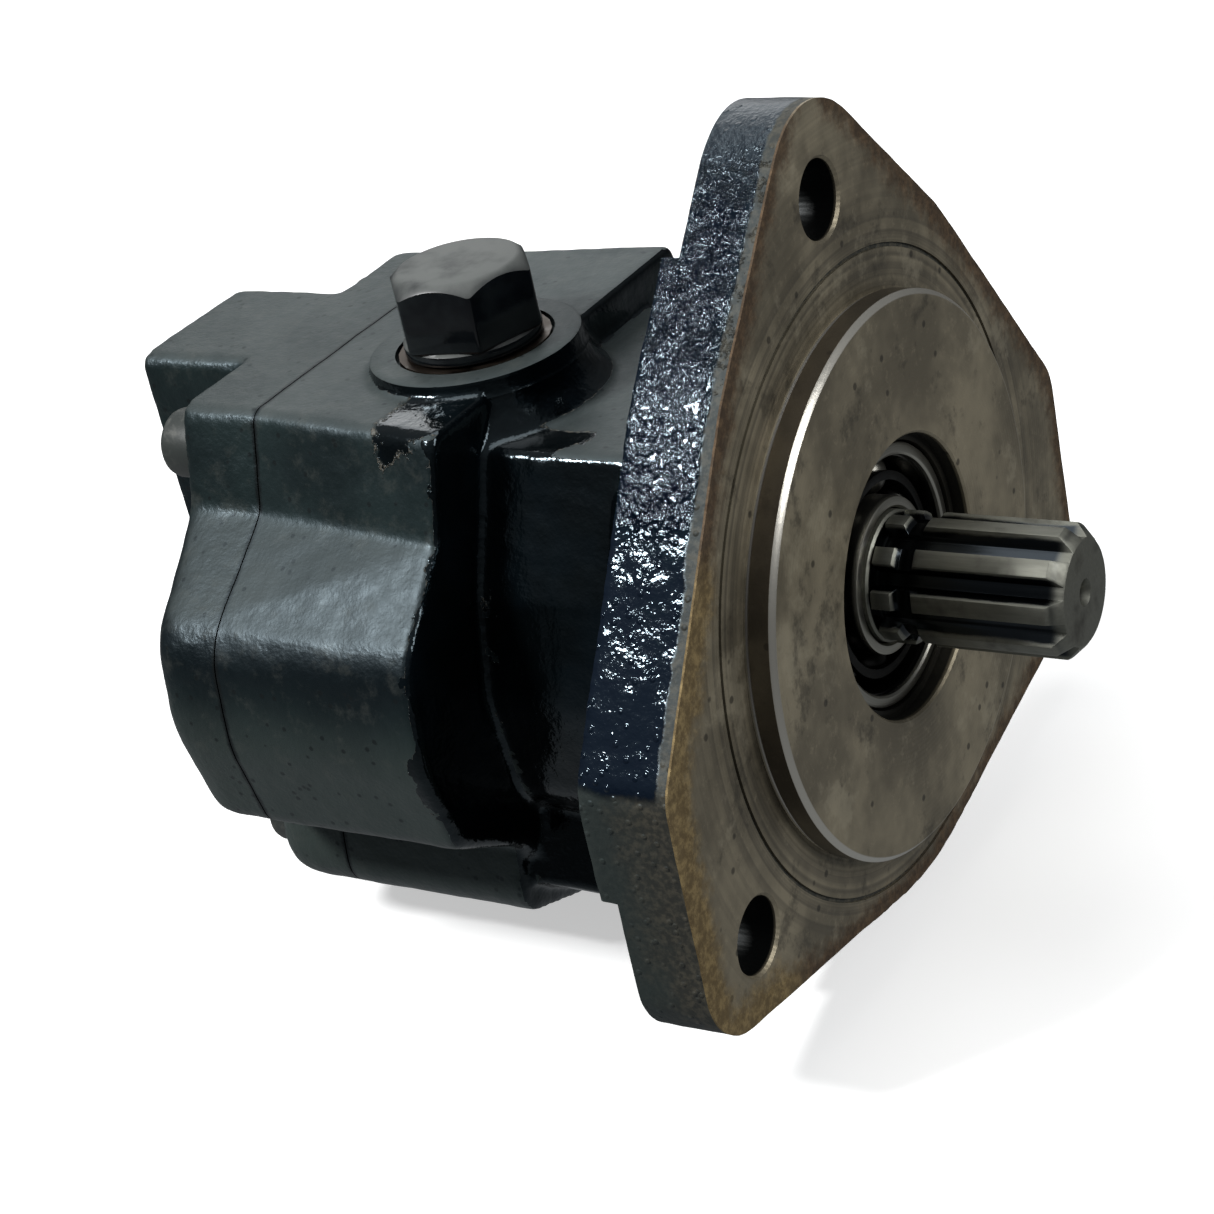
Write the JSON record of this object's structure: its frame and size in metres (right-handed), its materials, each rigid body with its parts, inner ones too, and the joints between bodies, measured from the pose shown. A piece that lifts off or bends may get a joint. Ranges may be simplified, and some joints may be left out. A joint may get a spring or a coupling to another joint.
{
  "type": "axial piston pump",
  "caption": "Axial piston pump with a splined shaft in an open ball bearing, a bolted triangular mounting flange, a rear port block and a fixed swash plate inside.",
  "frame": {"origin": "on the shaft axis, in the plane of the mounting face of the flange", "axes": "+X along the shaft axis out of the flange, +Z towards the top mounting hole and the plug, +Y completes the right-handed frame"},
  "size_m": [0.1807, 0.1568, 0.1519],
  "materials": {
    "housing_paint": "satin dark paint over a sand casting, bare machined flange face",
    "cover_paint": "satin dark paint over a sand casting",
    "plug_paint": "gloss black paint over a turned steel plug",
    "bolt_steel": "black oxide steel with worn edges",
    "shaft_steel": "ground hardened steel with an oil film",
    "bearing_steel": "polished bearing steel",
    "cage_steel": "pressed steel, oiled",
    "rubber": "moulded oil-resistant rubber",
    "bronze": "sintered bearing bronze",
    "slipper_brass": "turned brass",
    "seal_metal": "soft copper washer",
    "internal_steel": "ground and oiled steel",
    "internal_iron": "machined cast iron",
    "spring_steel": "oiled spring wire"
  },
  "bodies": {
    "housing": {"front_housing": "housing_paint", "rear_cover": "cover_paint", "cover_seal": "rubber", "cover_bolt_1": "bolt_steel", "cover_bolt_2": "bolt_steel", "cover_bolt_3": "bolt_steel", "cover_bolt_4": "bolt_steel", "hex_plug": "plug_paint", "plug_seal": "seal_metal", "bearing_outer_race": "bearing_steel", "shaft_seal": "rubber", "rear_bush": "bronze", "swash_plate": "internal_iron", "wear_plate": "internal_steel", "valve_plate": "bronze", "dowel_pin": "internal_steel"},
    "rotor": {"drive_shaft": "shaft_steel", "bearing_inner_race": "bearing_steel", "guide_ball": "bronze", "cylinder_barrel": "internal_steel", "barrel_spring": "spring_steel"},
    "slipper_ring": {"retainer_plate": "internal_steel", "slipper_1": "slipper_brass", "slipper_2": "slipper_brass", "slipper_3": "slipper_brass", "slipper_4": "slipper_brass", "slipper_5": "slipper_brass", "slipper_6": "slipper_brass", "slipper_7": "slipper_brass"},
    "piston_1": {"piston_1": "internal_steel"},
    "piston_2": {"piston_2": "internal_steel"},
    "piston_3": {"piston_3": "internal_steel"},
    "piston_4": {"piston_4": "internal_steel"},
    "piston_5": {"piston_5": "internal_steel"},
    "piston_6": {"piston_6": "internal_steel"},
    "piston_7": {"piston_7": "internal_steel"},
    "ball_set": {"bearing_cage": "cage_steel", "bearing_ball_1": "bearing_steel", "bearing_ball_2": "bearing_steel", "bearing_ball_3": "bearing_steel", "bearing_ball_4": "bearing_steel", "bearing_ball_5": "bearing_steel", "bearing_ball_6": "bearing_steel", "bearing_ball_7": "bearing_steel", "bearing_ball_8": "bearing_steel", "bearing_ball_9": "bearing_steel"}
  },
  "joints": [
    {"name": "shaft_spin", "type": "hinge", "parent": "housing", "child": "rotor", "pos_m": [-0.052, 0, 0], "axis": [1, 0, 0], "continuous": true},
    {"name": "slipper_ring_spin", "type": "hinge", "parent": "housing", "child": "slipper_ring", "pos_m": [-0.052, 0, 0], "axis": [0.9781, 0.2079, 0], "continuous": true},
    {"name": "piston_1_spin", "type": "hinge", "parent": "slipper_ring", "child": "piston_1", "pos_m": [-0.05663, 0.02176, 0], "axis": [0.9781, 0.2079, 0], "continuous": true},
    {"name": "piston_2_spin", "type": "hinge", "parent": "slipper_ring", "child": "piston_2", "pos_m": [-0.05488, 0.01357, 0.01739], "axis": [0.9781, 0.2079, 0], "continuous": true},
    {"name": "piston_3_spin", "type": "hinge", "parent": "slipper_ring", "child": "piston_3", "pos_m": [-0.05097, -0.00484, 0.02168], "axis": [0.9781, 0.2079, 0], "continuous": true},
    {"name": "piston_4_spin", "type": "hinge", "parent": "slipper_ring", "child": "piston_4", "pos_m": [-0.04783, -0.0196, 0.00965], "axis": [0.9781, 0.2079, 0], "continuous": true},
    {"name": "piston_5_spin", "type": "hinge", "parent": "slipper_ring", "child": "piston_5", "pos_m": [-0.04783, -0.0196, -0.00965], "axis": [0.9781, 0.2079, 0], "continuous": true},
    {"name": "piston_6_spin", "type": "hinge", "parent": "slipper_ring", "child": "piston_6", "pos_m": [-0.05097, -0.00484, -0.02168], "axis": [0.9781, 0.2079, 0], "continuous": true},
    {"name": "piston_7_spin", "type": "hinge", "parent": "slipper_ring", "child": "piston_7", "pos_m": [-0.05488, 0.01357, -0.01739], "axis": [0.9781, 0.2079, 0], "continuous": true},
    {"name": "ball_set_spin", "type": "hinge", "parent": "housing", "child": "ball_set", "pos_m": [-0.005, 0, 0], "axis": [1, 0, 0], "continuous": true}
  ],
  "couplings": [
    {"joint": "slipper_ring_spin", "follows": "shaft_spin", "ratio": 1},
    {"joint": "piston_1_spin", "follows": "shaft_spin", "ratio": -1},
    {"joint": "piston_2_spin", "follows": "shaft_spin", "ratio": -1},
    {"joint": "piston_3_spin", "follows": "shaft_spin", "ratio": -1},
    {"joint": "piston_4_spin", "follows": "shaft_spin", "ratio": -1},
    {"joint": "piston_5_spin", "follows": "shaft_spin", "ratio": -1},
    {"joint": "piston_6_spin", "follows": "shaft_spin", "ratio": -1},
    {"joint": "piston_7_spin", "follows": "shaft_spin", "ratio": -1},
    {"joint": "ball_set_spin", "follows": "shaft_spin", "ratio": 0.3859}
  ]
}
